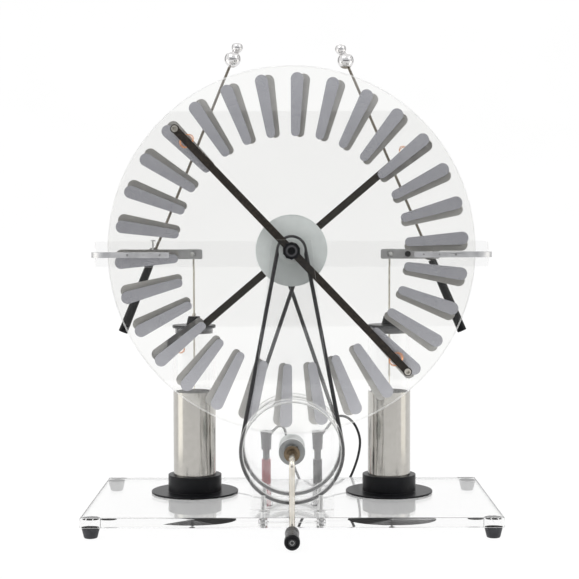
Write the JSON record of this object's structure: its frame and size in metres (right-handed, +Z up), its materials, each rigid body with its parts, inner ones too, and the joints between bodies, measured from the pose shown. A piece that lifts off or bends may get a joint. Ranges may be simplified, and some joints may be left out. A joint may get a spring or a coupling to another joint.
{
  "type": "wimshurst machine",
  "caption": "Hand-cranked influence machine: counter-rotating sectored clear discs, belt drive, neutralizer bars, charge combs, swinging ball electrodes and storage jars.",
  "frame": {"origin": "middle of the overall footprint, crank handle to base's back edge, on the table surface", "axes": "+X to the right seen from the crank side, +Y away from the crank along the disc axle, +Z up"},
  "size_m": [0.365, 0.2657, 0.441],
  "materials": {
    "clear_base": "clear polished acrylic",
    "clear_plate": "clear polished acrylic",
    "clear_disc": "clear polished acrylic",
    "clear_tube": "clear polished acrylic",
    "clear_wheel": "clear polished acrylic",
    "foot_rubber": "matt rubber",
    "screw_steel": "plated steel screws",
    "axle_steel": "ground steel",
    "spacer": "fibre washer",
    "nickel": "nickel plate",
    "comb_alloy": "brushed aluminium strip",
    "black_screw": "blackened steel",
    "black_cup": "turned black plastic",
    "foil": "smooth foil",
    "contact_wire": "drawn wire",
    "belt": "smooth black round belt",
    "red_plastic": "moulded",
    "black_plastic": "moulded",
    "plug_grey": "moulded",
    "wire_grey": "insulated wire",
    "lead_black": "flexible insulation",
    "hub_grey": "turned, satin",
    "boss_grey": "turned light grey plastic",
    "front_foil": "dull foil",
    "rear_foil": "dull foil",
    "bar_dark": "bronzed flat bar",
    "copper": "fine copper wire",
    "ball_chrome": "polished"
  },
  "bodies": {
    "frame": {"base_plate": "clear_base", "rubber_feet": "foot_rubber", "frame_screws": "screw_steel", "front_upright": "clear_plate", "rear_upright": "clear_plate", "crossbar": "clear_plate", "main_axle": "axle_steel", "axle_spacer": "spacer", "crank_bushes": "nickel", "left_comb": "comb_alloy", "right_comb": "comb_alloy", "comb_pins": "screw_steel", "terminal_studs": "nickel", "stud_nuts": "nickel", "link_plates": "comb_alloy", "terminal_screws": "screw_steel", "plate_screws": "black_screw", "jar_terminals": "nickel", "jar_cups": "black_cup", "left_jar_tube": "clear_tube", "right_jar_tube": "clear_tube", "outer_foils": "foil", "inner_foils": "foil", "jar_lids": "black_plastic", "jar_rods": "nickel", "jar_contacts": "contact_wire", "front_belt": "belt", "rear_belt": "belt", "red_socket": "red_plastic", "black_socket": "black_plastic", "socket_nuts": "screw_steel", "jar_wires": "wire_grey", "patch_plugs": "plug_grey", "patch_lead": "lead_black"},
    "front_rotor": {"front_disc": "clear_disc", "front_sectors": "front_foil", "front_boss": "boss_grey"},
    "rear_rotor": {"rear_disc": "clear_disc", "rear_sectors": "rear_foil", "rear_boss": "boss_grey"},
    "crank": {"crank_rod": "nickel", "front_drive_wheel": "clear_wheel", "rear_drive_wheel": "clear_wheel", "front_wheel_hub": "hub_grey", "rear_wheel_hub": "hub_grey", "crank_collars": "nickel", "grip_screw": "black_screw"},
    "crank_handle": {"crank_grip": "black_plastic"},
    "front_neutralizer": {"front_bar": "bar_dark", "front_holders": "nickel", "front_brushes": "copper"},
    "rear_neutralizer": {"rear_bar": "bar_dark", "rear_holders": "nickel", "rear_brushes": "copper"},
    "left_swing": {"left_electrode": "ball_chrome", "left_handle": "black_plastic"},
    "right_swing": {"right_electrode": "ball_chrome", "right_handle": "black_plastic"},
    "front_nut": {"front_knob": "black_plastic"},
    "rear_nut": {"rear_knob": "black_plastic"}
  },
  "joints": [
    {"name": "front_disc_spin", "type": "hinge", "parent": "frame", "child": "front_rotor", "pos_m": [0, -0.0148, 0.2475], "axis": [0, 1, 0], "continuous": true},
    {"name": "rear_disc_spin", "type": "hinge", "parent": "frame", "child": "rear_rotor", "pos_m": [0, 0.0052, 0.2475], "axis": [0, 1, 0], "continuous": true},
    {"name": "crank_spin", "type": "hinge", "parent": "frame", "child": "crank", "pos_m": [0, -0.039, 0.069], "axis": [0, 1, 0], "continuous": true},
    {"name": "crank_handle_spin", "type": "hinge", "parent": "crank", "child": "crank_handle", "pos_m": [0, -0.1048, 0.0082], "axis": [0, 1, 0], "continuous": true},
    {"name": "front_neutralizer_turn", "type": "hinge", "parent": "frame", "child": "front_neutralizer", "pos_m": [0, -0.033, 0.2475], "axis": [0, 1, 0], "range_deg": [-25, 25]},
    {"name": "rear_neutralizer_turn", "type": "hinge", "parent": "frame", "child": "rear_neutralizer", "pos_m": [0, 0.0234, 0.2475], "axis": [0, 1, 0], "range_deg": [-25, 25]},
    {"name": "left_electrode_swing", "type": "hinge", "parent": "frame", "child": "left_swing", "pos_m": [-0.1286, 0.047, 0.2435], "axis": [0, 1, 0], "range_deg": [-24, 12.8]},
    {"name": "right_electrode_swing", "type": "hinge", "parent": "frame", "child": "right_swing", "pos_m": [0.1286, 0.047, 0.2435], "axis": [0, -1, 0], "range_deg": [-24, 12.8]},
    {"name": "front_knob_turn", "type": "hinge", "parent": "frame", "child": "front_nut", "pos_m": [0, -0.0483, 0.2475], "axis": [0, -1, 0], "range_deg": [0, 360]},
    {"name": "rear_knob_turn", "type": "hinge", "parent": "frame", "child": "rear_nut", "pos_m": [0, 0.0467, 0.2475], "axis": [0, 1, 0], "range_deg": [0, 360]}
  ],
  "couplings": [
    {"joint": "rear_disc_spin", "follows": "front_disc_spin", "ratio": -1},
    {"joint": "crank_spin", "follows": "front_disc_spin", "ratio": 0.26374}
  ]
}
